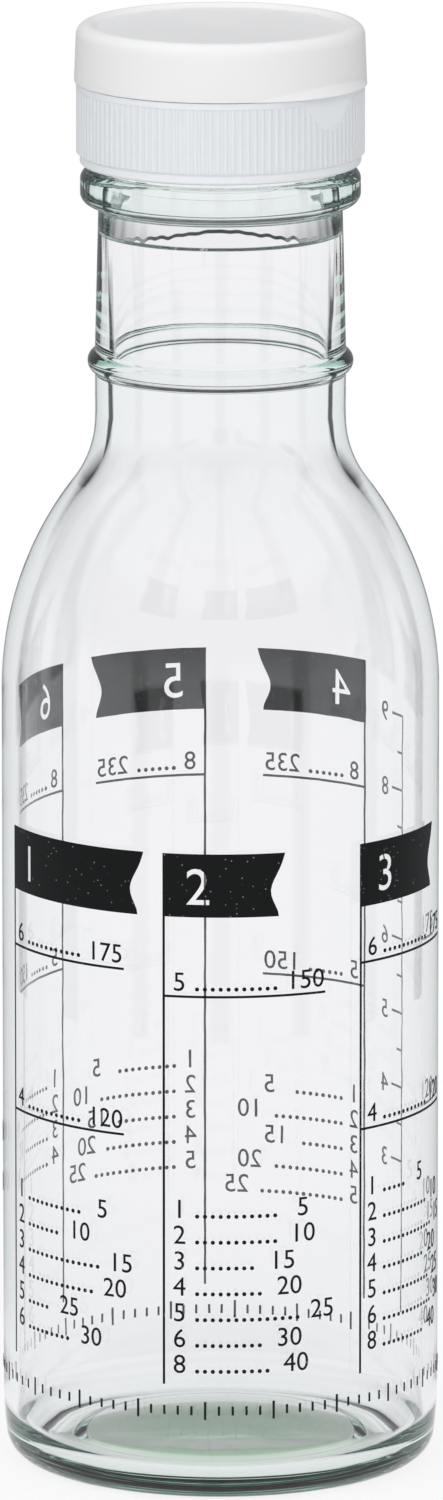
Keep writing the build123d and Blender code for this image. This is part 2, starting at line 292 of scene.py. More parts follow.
def mesh_object(name, vertices, faces, material, crease=None):
    """An object at the origin from millimetre vertices, smooth but for edges past crease degrees."""
    mesh = bpy.data.meshes.new(name)
    mesh.from_pydata([[value * MM for value in vertex] for vertex in vertices], [], faces)
    mesh.materials.append(material)
    mesh.polygons.foreach_set("use_smooth", [True] * len(mesh.polygons))
    if crease is not None:
        mesh.set_sharp_from_angle(angle=radians(crease))
    mesh.validate()
    return linked(name, mesh)


def even(count):
    """Angles that divide a full turn evenly."""
    return [2 * pi * k / count for k in range(count)]


def turned(name, outline, angles, material, warp=None, crease=None):
    """Closed solid turned about Z from a half section that runs anticlockwise.

    An outline that starts and ends on the axis gets a pole there, and any other is a closed loop.
    warp takes a radius, a height and an angle, and returns the radius.
    """
    segments = len(angles)
    poles = outline[0][0] < 1e-6
    ring = outline[1:-1] if poles else outline
    vertices = []
    for radius, height in ring:
        for angle in angles:
            reach = warp(radius, height, angle) if warp else radius
            vertices.append((reach * cos(angle), reach * sin(angle), height))
    faces = []
    rows = len(ring) - 1 if poles else len(ring)
    for row in range(rows):
        low = row * segments
        high = (row + 1) % len(ring) * segments
        for k in range(segments):
            after = (k + 1) % segments
            faces.append((low + k, low + after, high + after, high + k))
    if poles:
        last = (len(ring) - 1) * segments
        vertices.append((0, 0, outline[0][1]))
        vertices.append((0, 0, outline[-1][1]))
        for k in range(segments):
            after = (k + 1) % segments
            faces.append((len(vertices) - 2, after, k))
            faces.append((len(vertices) - 1, last + k, last + after))
    return mesh_object(name, vertices, faces, material, crease)


# Bottle: sizes of the glass in millimetres
body_radius = bottle_high.x
finish_top = bottle_high.z
body_height = 111.0
glass_wall = 1.9
neck_wall = 2.5
sweep_height = 11.0
sweep_radius = 65.0
heel_radius = 3.9
bearing_width = 0.6
push_up = 2.8
step_radius = 20.4
step_width = 1.8
step_foot = 0.5
step_rise = 1.1
step_round = 0.9
floor_thickness = 2.6
floor_edge = 2.7
floor_round = 5.0
shoulder_radius = 48.0
shoulder_fillet = 15.2
neck_radius = 17.6
neck_top_radius = 17.1
ring_rise = 7.94
ring_proud = 1.05
ring_arc = 1.6
ring_fillet = 0.8
bead_depth = 4.9
bead_radius = 19.66
bead_arc = 1.5
bead_fillet = 0.8
finish_height = 10.16
finish_radius = 17.4
thread_radius = 18.6
finish_foot_fillet = 0.5
bore_radius = 14.6
bore_blend_height = 3.6
bore_blend_round = 1.2
bore_blend_drop = 5.55
bore_swell = 15.6
bore_ledge = 0.4
bore_ledge_round = 0.2
neck_uneven_reach = 18.0
neck_unevenness = 0.3
neck_waves = (2, 5)
neck_wave_start = 1.2
neck_ripple = 0.04
neck_ripple_waves = (37, 11)
neck_ripple_start = 0.5
lip_outer_round = 1.0
lip_inner_round = 1.2
thread_pitch = 25.4 / 6
thread_start_depth = 1.17
thread_widths = (2.4, 1.2)
thread_sunk = 0.05
thread_row = 0.22

body_bore = body_radius - glass_wall
neck_bore = neck_radius - neck_wall
bead_top = finish_top - finish_height
uneven_low = bead_top - neck_uneven_reach
ledge_height = bead_top - bore_blend_drop - bore_blend_height
thread_low = finish_top - thread_start_depth - thread_widths[0] / 2 - thread_pitch


def neck_fillet(center, shoulder, fillet, neck):
    """Centre of the fillet between the shoulder arc and the neck, and the angle where they meet."""
    across = neck + fillet - center[0]
    rise = sqrt((shoulder + fillet) ** 2 - across**2)
    return (neck + fillet, center[1] + rise), degrees(atan2(rise, across))


def bottle_outline():
    """Half section of the glass, from the middle of the underside round to the middle of the floor."""
    sweep_center = (body_radius - sweep_radius, sweep_height)
    heel_drop = sweep_height - heel_radius
    heel_x = sweep_center[0] + sqrt((sweep_radius - heel_radius) ** 2 - heel_drop**2)
    heel_angle = degrees(atan2(heel_drop, heel_x - sweep_center[0]))
    shoulder_mid = (body_radius - shoulder_radius, body_height)
    outer_fillet, outer_angle = neck_fillet(shoulder_mid, shoulder_radius, shoulder_fillet, neck_radius)
    inner_shoulder = shoulder_radius - glass_wall
    inner_radius = shoulder_fillet + glass_wall
    inner_fillet, inner_angle = neck_fillet(shoulder_mid, inner_shoulder, inner_radius, neck_bore)
    ring_height = outer_fillet[1] + ring_rise
    ring_center = (neck_radius + ring_proud - ring_arc, ring_height)
    ring_x = neck_radius + ring_fillet
    ring_reach = sqrt((ring_arc + ring_fillet) ** 2 - (ring_x - ring_center[0]) ** 2)
    ring_angle = degrees(atan2(ring_reach, ring_x - ring_center[0]))
    floor_center = (body_bore - floor_round, floor_edge + floor_round)

    step_top = (step_radius - step_width, step_foot + step_rise)
    outline = [point for point in dome(*step_top, push_up)[::-1] if point[0] < step_top[0] - step_round]
    foot = (
        (*outline[-1], 0),
        (*step_top, step_round),
        (step_radius, step_foot, step_round),
        (heel_x - bearing_width, 0, step_round),
        (heel_x, 0, 0),
    )
    outline += rounded(foot, closed=False)
    outline += arc((heel_x, heel_radius), heel_radius, -90, -heel_angle, step=0.4)
    outline += arc(sweep_center, sweep_radius, -heel_angle, 0)
    outline += straight((body_radius, sweep_height), (body_radius, body_height), step=10)
    outline += arc(shoulder_mid, shoulder_radius, 0, outer_angle, step=1.2)
    outline += arc(outer_fillet, shoulder_fillet, outer_angle + 180, 180, step=1.0)
    outline += arc((ring_x, ring_height - ring_reach), ring_fillet, 180, 180 - ring_angle)
    outline += arc(ring_center, ring_arc, -ring_angle, ring_angle, step=0.2)
    outline += arc((ring_x, ring_height + ring_reach), ring_fillet, 180 + ring_angle, 180)
    mouth = (
        (neck_radius, ring_height + ring_reach, 0),
        (neck_top_radius, bead_top - bead_depth, bead_fillet),
        (bead_radius, bead_top - bead_depth, bead_arc),
        (bead_radius, bead_top, bead_arc),
        (finish_radius, bead_top, finish_foot_fillet),
        (finish_radius, finish_top, lip_outer_round),
        (bore_radius, finish_top, lip_inner_round),
        (bore_radius, bead_top - bore_blend_drop, bore_blend_round),
        (bore_swell - bore_ledge, ledge_height + bore_ledge, bore_ledge_round),
        (bore_swell, ledge_height, bore_ledge_round),
        (neck_bore, inner_fillet[1], 0),
    )
    mouth = rounded(mouth, closed=False)
    for start, end in zip(mouth, mouth[1:]):
        on_finish = start[0] == end[0] and abs(start[0] - finish_radius) < 0.01
        outline += straight(start, end, step=thread_row if on_finish else 8)
    outline += arc(inner_fillet, inner_radius, 180, inner_angle + 180, step=1.2)
    outline += arc(shoulder_mid, inner_shoulder, inner_angle, 0, step=1.4)
    outline += straight((body_bore, body_height), (body_bore, floor_center[1]), step=10)
    outline += arc(floor_center, floor_round, 0, -90, step=0.7)
    outline += dome(floor_center[0], floor_edge, push_up + floor_thickness)
    return tidy(outline)


def ridge_height(height, center, depth, widths):
    """How far a thread stands out at a height, from its middle, depth, and widths at root and crest."""
    root_width, crest_width = widths
    flank = (root_width - crest_width) / 2
    share = (root_width / 2 - abs(height - center)) / flank
    share = min(1.0, max(0.0, share))
    return depth * share * share * (3 - 2 * share)


def blown_wall(radius, height, angle):
    """Thread of the finish, which fades out at both ends near +X, and the unevenness of the inner wall."""
    if radius < bore_swell + 0.2 and height > uneven_low:
        share = (height - uneven_low) / (bead_top - uneven_low)
        swell = sin(pi * min(1.0, share)) ** 2
        wave, beat = neck_waves
        slow = cos(wave * angle + neck_wave_start) * (1 + cos(beat * angle)) / 2
        wave, beat = neck_ripple_waves
        quick = cos(wave * angle) * cos(beat * angle + neck_ripple_start)
        return radius + swell * (neck_unevenness * slow + neck_ripple * quick)
    if abs(radius - finish_radius) > 0.3 or height < bead_top + 0.2:
        return radius
    depth = thread_radius - finish_radius
    near_x = cos(angle)
    if near_x > 0:
        flat = (finish_radius - thread_sunk) / near_x
        depth = min(depth, max(0.0, flat - finish_radius))
    center = thread_low + thread_pitch * (angle / (2 * pi))
    return radius + ridge_height(height, center, depth, thread_widths)


BOTTLE_ROUND = 256
bottle = turned("glass_bottle", bottle_outline(), even(BOTTLE_ROUND), glass, blown_wall)
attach(bottle, "bottle")
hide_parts("bottle")

# Print: fired enamel outlines, drawn flat as (along, height) in millimetres and laid on the glass
INK_LIFT = 0.01
INK_THICKNESS = 0.05
INK_FACET = 0.8
SAME_POINT = 1e-3
RULE_WIDTH = 0.34
RULE_FOOT = 17.1
NUMERAL_HEIGHT = 2.8
FONT_SHARE = 0.73
NUMERAL_WEIGHT = 0.055
NUMERAL_STEPS = 4
ROW_PITCH = 3.72
ROW_NUMERAL = 2.4
DOT_START = 4.9
DOT_PITCH = 1.1
DOT_RADIUS = 0.31
DOT_RISE = 0.28
DOT_CORNERS = 8
DOT_MARGINS = 7.4
LEVEL_RISE = 2.2
LEVEL_INSET = 3
FLAG_HEIGHT = 9.0
FLAG_STEPS = 12
FLAG_TAIL = 0.6
FLAG_HOLLOW = 2.2
FLAG_TIP = 0.9
FLAG_NUMERAL = 5.0
FLAG_NUMERAL_HEIGHT = 5.4


def bar(left, low, right, high):
    """Corners of an upright rectangle."""
    return [(left, low), (right, low), (right, high), (left, high)]


def disc(middle, radius):
    """Corners of a small dot."""
    return [(middle[0] + radius * cos(t), middle[1] + radius * sin(t)) for t in even(DOT_CORNERS)]


def banner(width, low, high):
    """Flag with a straight edge on its rule and a waved free edge."""
    points = [(0, low)]
    for k in range(FLAG_STEPS + 1):
        share = k / FLAG_STEPS
        wave = -FLAG_HOLLOW * sin(pi * share) ** 2 * (1 - share) + FLAG_TIP * share**3
        points.append((width - FLAG_TAIL + wave, low + (high - low) * share))
    points.append((0, high))
    return points


def shape(*outlines):
    """Flat curve, filled between closed straight-sided outlines; one inside another is a hole."""
    flat = bpy.data.curves.new("outline", "CURVE")
    flat.dimensions = "2D"
    flat.fill_mode = "BOTH"
    for points in outlines:
        spline = flat.splines.new("POLY")
        spline.points.add(len(points) - 1)
        for point, (x, y) in zip(spline.points, points):
            point.co = (x, y, 0, 1)
        spline.use_cyclic_u = True
    return flat


def numeral_outlines(text, middle, height):
    """Outlines of a plain numeral centred on a point, sampled from the built-in font."""
    font = bpy.data.curves.new("numeral", "FONT")
    font.body = text
    font.align_x = "CENTER"
    font.size = height / FONT_SHARE
    font.offset = NUMERAL_WEIGHT * height
    holder = linked("numeral", font)
    outlines = []
    for spline in holder.to_curve(bpy.context.evaluated_depsgraph_get()).splines:
        points = []
        ends = list(spline.bezier_points)
        for here, after in zip(ends, ends[1:] + ends[:1]):
            for k in range(NUMERAL_STEPS):
                t = k / NUMERAL_STEPS
                near = here.co.lerp(here.handle_right, t)
                between = here.handle_right.lerp(after.handle_left, t)
                far = after.handle_left.lerp(after.co, t)
                place = near.lerp(between, t).lerp(between.lerp(far, t), t)
                points.append((place.x + middle[0], place.y + middle[1] - height / 2))
        outlines.append(points)
    bpy.data.objects.remove(holder)
    return outlines


def numeral(text, middle):
    return shape(*numeral_outlines(text, middle, NUMERAL_HEIGHT))


def level_line(height, length):
    """Line that runs level from the rule."""
    return shape(bar(RULE_WIDTH, height - RULE_WIDTH / 2, length, height + RULE_WIDTH / 2))


def figures(left, right, length, middle):
    """A number beside the rule, dots, and a number at the far end."""
    dots = floor((length - DOT_MARGINS) / DOT_PITCH)
    foot = middle - NUMERAL_HEIGHT / 2 + DOT_RISE
    leader = [disc((DOT_START + DOT_PITCH * k, foot), DOT_RADIUS) for k in range(dots)]
    return [numeral(left, (ROW_NUMERAL, middle)), numeral(right, (length, middle)), shape(*leader)]


def printed(name, curves, azimuth):
    """One piece of enamel from flat curves, wrapped round the body from an azimuth in degrees."""
    vertices, polygons = [], []
    radius = body_radius + INK_LIFT
    for flat in curves:
        faces = bmesh.new()
        faces.from_mesh(evaluated(linked("outline", flat)))
        reach = [v.co.x for v in faces.verts]
        for k in range(ceil(min(reach) / INK_FACET), floor(max(reach) / INK_FACET) + 1):
            everything = faces.verts[:] + faces.edges[:] + faces.faces[:]
            cut = (k * INK_FACET, 0, 0)
            bmesh.ops.bisect_plane(faces, geom=everything, plane_co=cut, plane_no=(1, 0, 0), dist=1e-4)
        bmesh.ops.remove_doubles(faces, verts=faces.verts, dist=SAME_POINT)
        bmesh.ops.dissolve_degenerate(faces, edges=faces.edges, dist=SAME_POINT)
        faces.normal_update()
        upward = sum(face.normal.z * face.calc_area() for face in faces.faces) > 0
        first = len(vertices)
        faces.verts.index_update()
        for vertex in faces.verts:
            around = radians(azimuth) + vertex.co.x / body_radius
            vertices.append((radius * sin(around), -radius * cos(around), vertex.co.y))
        for face in faces.faces:
            corners = [first + v.index for v in face.verts]
            polygons.append(corners if upward else corners[::-1])
        faces.free()
    sheet = mesh_object(name + "_sheet", vertices, polygons, enamel)
    solid = sheet.modifiers.new("thickness", "SOLIDIFY")
    solid.thickness = INK_THICKNESS * MM
    solid.offset = 1.0
    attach(made_plain(name, sheet, 40), "bottle")


def panel(number, azimuth, flag_low, flag_width, levels, rows_top, rows):
    """A numbered flag on its rule, level lines with their numbers, and rows of figures with leaders."""
    flag = banner(flag_width, flag_low, flag_low + FLAG_HEIGHT)
    flag_middle = (FLAG_NUMERAL, flag_low + FLAG_HEIGHT / 2)
    curves = [
        shape(flag, *numeral_outlines(str(number), flag_middle, FLAG_NUMERAL_HEIGHT)),
        shape(bar(0, RULE_FOOT, RULE_WIDTH, flag_low)),
    ]
    for height, length, ounces in levels:
        millilitres = 5 * round(ounces * ML_PER_OUNCE / 5)
        over_line = height + LEVEL_RISE
        curves.append(level_line(height, length))
        curves += figures(str(ounces), str(millilitres), length - LEVEL_INSET, over_line)
    for k, (spoons, length) in enumerate(zip(SPOONS, rows)):
        millilitres = ML_PER_SPOON * spoons
        curves += figures(str(spoons), str(millilitres), length, rows_top - k * ROW_PITCH)
    printed(f"enamel_panel_{number}", curves, azimuth)


ML_PER_OUNCE = 29.57
ML_PER_SPOON = 5
SPOONS = (1, 2, 3, 4, 5, 6, 8)
# Each panel: its number, degrees from the camera, flag's foot and width, level lines as height, length
# and ounces, height of the first row of figures, and the length of each row
PANELS = (
    (1, -69.7, 84.2, 26.2, ((76.2, 23.5, 6), (52.5, 23.5, 4)), 41.5, (20, 16, 23, 22, 14, 18)),
    (2, -15.2, 84.2, 17.0, ((72.85, 23.4, 5),), 42.5, (20, 20, 17, 18, 23, 18, 19)),
    (3, 39.2, 84.2, 18.6, ((76.2, 23.4, 6), (52.3, 23.4, 4)), 44.0, (14, 20, 22, 19, 21, 22, 19)),
    (4, 134.6, 101.4, 18.6, ((92.0, 18.0, 8), (63.0, 18.0, 5)), 47.0, (17, 20, 16, 20, 22)),
    (5, 184.0, 101.4, 18.6, ((92.0, 18.0, 8),), 50.5, (18, 21, 18, 20, 22)),
    (6, 230.7, 101.4, 18.6, ((92.0, 18.0, 8), (66.0, 18.0, 5)), 50.5, (18, 21, 18, 20)),
)
for number, photo_angle, *sizes in PANELS:
    panel(number, CAMERA_AZIMUTH + photo_angle, *sizes)

# Ounce scale between the panels: the height of each whole ounce
SCALE_AZIMUTH = CAMERA_AZIMUTH + 115.3
SCALE_OUNCES = range(3, 10)
SCALE_FOOT = 39.15
SCALE_PITCH = 10.8
WHOLE_LINE = 3.6
HALF_LINE = 2.0
SCALE_NUMERAL = 5.6
scale_top = SCALE_FOOT + (len(SCALE_OUNCES) - 1) * SCALE_PITCH
scale = [shape(bar(0, RULE_FOOT, RULE_WIDTH, scale_top + RULE_WIDTH / 2))]
for k, ounce in enumerate(SCALE_OUNCES):
    height = SCALE_FOOT + k * SCALE_PITCH
    scale += [level_line(height, WHOLE_LINE), numeral(str(ounce), (SCALE_NUMERAL, height))]
    if height < scale_top:
        scale.append(level_line(height + SCALE_PITCH / 2, HALF_LINE))
printed("enamel_scale", scale, SCALE_AZIMUTH)

# Closure, lid, hinge and sealing ring: sizes in millimetres
skirt_bottom = closure_low.z
deck_bottom = liner_high.z
deck_thickness = 1.2
deck_top = deck_bottom + deck_thickness
skirt_bore = 18.9
skirt_radius = 20.2
foot_radius = 19.7
foot_height = 1.3
foot_slope = 0.41
rib_count = 120
rib_depth = 0.12
rib_tube_radius = 0.5
rib_foot_sunk = 0.35
rib_top_margin = 1.0
rib_top_sunk = 0.2
skirt_thread_depth = 1.25
skirt_thread_widths = (1.5, 0.8)
skirt_thread_start = radians(60)
skirt_thread_turns = 1.4
skirt_thread_drop = 1.31
skirt_thread_fade = 1 / 40
orifice = 5.5
orifice_lead_in = 0.4
spout_wall = 1.1
spout_foot_wall = 1.9
spout_height = 3.2
spout_top = deck_top + spout_height
rim_radius = 18.73
rim_width = 0.8
rim_height = 1.6
rim_round = 0.3
catch_proud = 0.2
catch_drop = 0.8
catch_height = 0.5
catch_half_width = 4
# The gap under the lid is narrower in the look than the clearance that the solid has there
lid_gap_closed = 0.18
lid_bottom = lid_low.z - lid_gap_closed
lid_top = lid_high.z
lid_radius = 20.48
lid_top_radius = 20.16
lid_draft_under_edge = 0.103
lid_draft_over_edge = 0.104
lid_bore = 19.08
dish_radius = 18.2
dish_slope_width = 0.9
dish_depth = 0.6
dish_floor = lid_top - dish_depth
gate_radius = 1.9
gate_pin_radius = 1.0
gate_depth = 0.05
lid_thickness = 1.2
lid_ceiling = dish_floor - lid_thickness
plug_waist = 5.15
plug_wall = 1.1
plug_depth = 1.8
plug_tip_inset = 0.15
plug_bead_depth = 0.7
plug_bead_proud = 0.25
lip_half_angle = radians(37)
lip_offset = 4.0
lip_slope = radians(55)
scoop_depth = 0.8
scoop_height = 5.0
pocket_face = 19.65
pocket_half_width = 4.65
pocket_height = 2.55
hinge_height = (deck_top + lid_bottom) / 2

rib_root = skirt_radius - rib_depth
rib_axis = skirt_radius - rib_tube_radius
pocket_floor = deck_top - pocket_height
pocket_ceiling = lid_bottom + pocket_height
pocket_edge = asin(pocket_half_width / skirt_radius)
PLASTIC_ROUND = 288
EDGE_STEP = 0.0005
EDGE_GAP = 0.01
AROUND = sorted(
    even(PLASTIC_ROUND)
    + [pi / 2 + side * pocket_edge + nudge for side in (-1, 1) for nudge in (-EDGE_STEP, EDGE_STEP)]
)


def in_pocket(angle):
    return cos(angle - pi / 2) > cos(pocket_edge)


def moulded_base(radius, height, angle):
    """Thread in the bore, flat for the thumb, hinge pocket and catch of the closure."""
    to_front = -sin(angle)
    if abs(radius - skirt_bore) < EDGE_GAP and height < deck_bottom - 0.1:
        low = thread_low + thread_pitch * skirt_thread_start / (2 * pi) - skirt_thread_drop
        first = (angle - skirt_thread_start) % (2 * pi) / (2 * pi)
        for turns in (first, first + 1):
            from_end = min(turns, skirt_thread_turns - turns) / skirt_thread_fade
            depth = skirt_thread_depth * min(1.0, max(0.0, from_end))
            center = low + thread_pitch * turns
            ridge = ridge_height(height, center, depth, skirt_thread_widths)
            if ridge > 0:
                return radius - ridge
        return radius
    catch_low = deck_top + rim_height - catch_drop
    if abs(radius - rim_radius) < EDGE_GAP and catch_low <= height <= catch_low + catch_height:
        on_catch = to_front > 0 and abs(radius * cos(angle)) < catch_half_width
        return radius + catch_proud if on_catch else radius
    if radius < skirt_bore + 0.5:
        return radius
    cut = height - (deck_top - scoop_height)
    if cut > 0 and to_front > 0:
        radius = min(radius, (skirt_radius - scoop_depth * cut / scoop_height) / to_front)
    if height > pocket_floor and in_pocket(angle):
        radius = min(radius, pocket_face / -to_front)
    return radius


def moulded_lid(radius, height, angle):
    """Thumb lip and hinge pocket of the lid."""
    if radius < lid_bore + 0.4:
        return radius
    to_front = -sin(angle)
    across = cos(angle)
    edge_square = lid_radius**2 + lip_offset**2
    edge = sqrt(edge_square - 2 * lid_radius * lip_offset * cos(lip_half_angle))
    cone = edge - (height - lid_bottom) / tan(lip_slope)
    if to_front > 0 and cone > lip_offset:
        radius = max(radius, lip_offset * to_front + sqrt(cone**2 - (lip_offset * across) ** 2))
    if height < pocket_ceiling and in_pocket(angle):
        radius = min(radius, pocket_face / sin(angle))
    return radius


def stepped(points, steps):
    """Outline with its long runs divided: steps holds (low radius, low, high radius, high, step)."""
    divided = []
    for start, end in zip(points, points[1:] + points[:1]):
        radius, height = (start[0] + end[0]) / 2, (start[1] + end[1]) / 2
        step = inf
        for low_radius, low, high_radius, high, fine in steps:
            if low_radius <= radius <= high_radius and low <= height <= high:
                step = fine
        divided += straight(start, end, step)[:-1]
    return tidy(divided)


base_corners = (
    (skirt_bore, skirt_bottom, 0.2),
    (foot_radius, skirt_bottom, 0.5),
    (foot_radius, skirt_bottom + foot_height, 0.12),
    (rib_root, skirt_bottom + foot_height + foot_slope, 0.1),
    (rib_root, pocket_floor - EDGE_GAP, 0),
    (rib_root, pocket_floor + EDGE_GAP, 0),
    (rib_root, deck_top - rib_top_margin, 0),
    (skirt_radius, deck_top - rib_top_margin + 0.1, 0.05),
    (skirt_radius, deck_top, 0.1),
    (rim_radius, deck_top, 0),
    (rim_radius, deck_top + rim_height, rim_round),
    (rim_radius - rim_width, deck_top + rim_height, rim_round),
    (rim_radius - rim_width, deck_top, 0.25),
    (orifice + spout_foot_wall, deck_top, 0.5),
    (orifice + spout_wall, spout_top, 0.3),
    (orifice + orifice_lead_in, spout_top, 0.1),
    (orifice, spout_top - orifice_lead_in, 0.2),
    (orifice, deck_bottom, 0),
    (skirt_bore, deck_bottom, 0),
)
base_steps = (
    (skirt_bore - EDGE_GAP, skirt_bottom, skirt_bore + EDGE_GAP, deck_bottom, 0.24),
    (rim_radius - EDGE_GAP, deck_top, rim_radius + EDGE_GAP, lid_top, 0.1),
    (foot_radius, skirt_bottom + 2, lid_radius, deck_top, 0.3),
)
base_section = stepped(rounded(base_corners), base_steps)
base = turned("screw_closure", base_section, AROUND, closure_plastic, moulded_base, 35)
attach(base, "closure")
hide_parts("closure_base")

lid_corners = (
    (0, lid_ceiling, 0),
    (plug_waist - plug_wall, lid_ceiling, 0.3),
    (plug_waist - plug_wall, spout_top - plug_depth, 0.1),
    (plug_waist - plug_tip_inset, spout_top - plug_depth, 0.15),
    (plug_waist + plug_bead_proud, spout_top - plug_bead_depth, 0.3),
    (plug_waist, spout_top, 0.2),
    (plug_waist, lid_ceiling, 0.3),
    (lid_bore, lid_ceiling, 0.8),
    (lid_bore, lid_bottom, 0.3),
    (lid_radius, lid_bottom, 0.08),
    (lid_radius - lid_draft_under_edge, pocket_ceiling - EDGE_GAP, 0),
    (lid_radius - lid_draft_over_edge, pocket_ceiling + EDGE_GAP, 0),
    (lid_top_radius, lid_top, 1.7),
    (dish_radius, lid_top, 0.6),
    (dish_radius - dish_slope_width, dish_floor, 0.6),
    (gate_radius, dish_floor, 0),
    (gate_pin_radius, dish_floor - gate_depth, 0.6),
    (gate_pin_radius / 2, dish_floor - gate_depth, 0.1),
    (0, dish_floor, 0),
)
lid_steps = ((lid_radius - 0.2, lid_bottom, lid_radius, pocket_ceiling, 0.14),)
lid_section = stepped(rounded(lid_corners, closed=False), lid_steps)
lid = turned("lid_cap", lid_section, AROUND, lid_plastic, moulded_lid, 35)
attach(lid, "lid")
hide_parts("flip_lid")

film_thickness = 0.35
film_row_height = 0.05
film_rows = 11
strap_edge = 0.12
leg_end_gap = 0.42


def living_hinge():
    """Strap whose legs lie in the pockets; the thin film between them has rows to bend at."""
    outer_face = strap_high.y
    half_width = strap_high.x
    bends = range(-film_rows, film_rows + 1)
    low_leg = (strap_low.z, strap_low.z + strap_edge, deck_top - leg_end_gap)
    high_leg = (lid_bottom + leg_end_gap, strap_high.z - strap_edge, strap_high.z)
    rows = [(height, pocket_face) for height in low_leg]
    rows += [(hinge_height + film_row_height * k, outer_face - film_thickness) for k in bends]
    rows += [(height, pocket_face) for height in high_leg]
    vertices, faces = [], []
    for height, inner_face in rows:
        inset = strap_edge if height in (strap_low.z, strap_high.z) else 0.0
        corners = (
            (-half_width, inner_face),
            (half_width, inner_face),
            (half_width, outer_face - strap_edge),
            (half_width - strap_edge, outer_face - inset),
            (strap_edge - half_width, outer_face - inset),
            (-half_width, outer_face - strap_edge),
        )
        vertices += [(x, y, height) for x, y in corners]
    count = len(corners)
    for row in range(len(rows) - 1):
        for k in range(count):
            low, after = row * count + k, row * count + (k + 1) % count
            faces.append((low, after, after + count, low + count))
    faces.append(tuple(range(count))[::-1])
    faces.append(tuple(range(len(vertices) - count, len(vertices))))
    return mesh_object("living_hinge", vertices, faces, closure_plastic, 30)


hinge = living_hinge()
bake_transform(hinge)
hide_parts("hinge_strap")

liner_bore = 9.0
liner_round = 0.1
LINER_ROUND = 192
seal_corners = bar(liner_bore, liner_low.z, liner_high.x, liner_high.z)
seal_section = tidy(rounded([(x, z, liner_round) for x, z in seal_corners]))
seal = turned("sealing_ring", seal_section, even(LINER_ROUND), foam, crease=35)
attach(seal, "liner")
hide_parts("liner")

# What repeats, grown by Geometry Nodes


def group_tree(name, count, sizes):
    """Geometry Nodes tree with named inputs: a count, sizes and a material."""
    tree = bpy.data.node_groups.new(name, "GeometryNodeTree")
    kinds = {count: "NodeSocketInt"}
    kinds.update(dict.fromkeys(sizes, "NodeSocketFloat"), Material="NodeSocketMaterial")
    for title, kind in kinds.items():
        tree.interface.new_socket(title, in_out="INPUT", socket_type=kind)
    tree.interface.new_socket("Geometry", in_out="OUTPUT", socket_type="NodeSocketGeometry")
    return tree, tree.nodes.new("NodeGroupInput").outputs


def finish_tree(tree, instances, material):
    """Makes the instances real, smooth, and of one material."""
    real = node(tree, "GeometryNodeRealizeInstances", {"Geometry": instances})
    smooth = node(tree, "GeometryNodeSetShadeSmooth", {"Geometry": real.outputs[0]})
    coated = node(tree, "GeometryNodeSetMaterial", {"Geometry": smooth.outputs[0], "Material": material})
    node(tree, "NodeGroupOutput", {"Geometry": coated.outputs[0]})


def grown(name, tree, values, crease):
    """Plain mesh object from a Geometry Nodes tree and the values of its named inputs."""
    seed = linked(name + "_seed", bpy.data.meshes.new(name + "_seed"))
    modifier = seed.modifiers.new("repeat", "NODES")
    modifier.node_group = tree
    for item in tree.interface.items_tree:
        if item.in_out == "INPUT":
            modifier[item.identifier] = values[item.name]
    return made_plain(name, seed, crease)


def rib_tree():
    """Upright half-sunk tubes round the skirt, shorter where the flat for the thumb cuts in.

    There a rib ends at the height Flat Height plus Flat Slope times its Y.
    """
    sizes = ("Tube Radius", "Axis Radius", "End Share", "Foot", "Top", "Flat Height", "Flat Slope")
    tree, given = group_tree("grip_ribs", "Ribs", sizes)
    ring = node(tree, "GeometryNodeMeshCircle", {"Vertices": given["Ribs"], "Radius": given["Axis Radius"]})
    foot = node(tree, "ShaderNodeCombineXYZ", {"Z": given["Foot"]}).outputs[0]
    raised = node(tree, "GeometryNodeTransform", {"Geometry": ring.outputs["Mesh"], "Translation": foot})
    position = node(tree, "GeometryNodeInputPosition").outputs[0]
    back = node(tree, "ShaderNodeSeparateXYZ", {"Vector": position}).outputs["Y"]
    flat_inputs = {0: back, 1: given["Flat Slope"], 2: given["Flat Height"]}
    flat = node(tree, "ShaderNodeMath", flat_inputs, operation="MULTIPLY_ADD").outputs[0]
    top = node(tree, "ShaderNodeMath", {0: given["Top"], 1: flat}, operation="MINIMUM").outputs[0]
    height = node(tree, "ShaderNodeMath", {0: top, 1: given["Foot"]}, operation="SUBTRACT").outputs[0]
    line = node(tree, "GeometryNodeCurvePrimitiveLine", {"Start": (0, 0, 0), "End": (0, 0, 1)})
    dense = node(tree, "GeometryNodeResampleCurve", {"Curve": line.outputs[0], "Count": 9})
    along = node(tree, "GeometryNodeSplineParameter").outputs["Factor"]
    from_end = node(tree, "ShaderNodeMath", {0: along, 1: 0.5}, operation="PINGPONG").outputs[0]
    taper = {"Value": from_end, "From Max": 0.12, "To Min": given["End Share"]}
    swell = node(tree, "ShaderNodeMapRange", taper).outputs["Result"]
    sized = node(tree, "GeometryNodeSetCurveRadius", {"Curve": dense.outputs[0], "Radius": swell})
    circle = {"Resolution": 14, "Radius": given["Tube Radius"]}
    section = node(tree, "GeometryNodeCurvePrimitiveCircle", circle)
    curves = {"Curve": sized.outputs[0], "Profile Curve": section.outputs[0], "Fill Caps": True}
    tube = node(tree, "GeometryNodeCurveToMesh", curves).outputs[0]
    stretch = node(tree, "ShaderNodeCombineXYZ", {"X": 1.0, "Y": 1.0, "Z": height}).outputs[0]
    tubes = {"Points": raised.outputs[0], "Instance": tube, "Scale": stretch}
    ribs = node(tree, "GeometryNodeInstanceOnPoints", tubes)
    finish_tree(tree, ribs.outputs[0], given["Material"])
    return tree


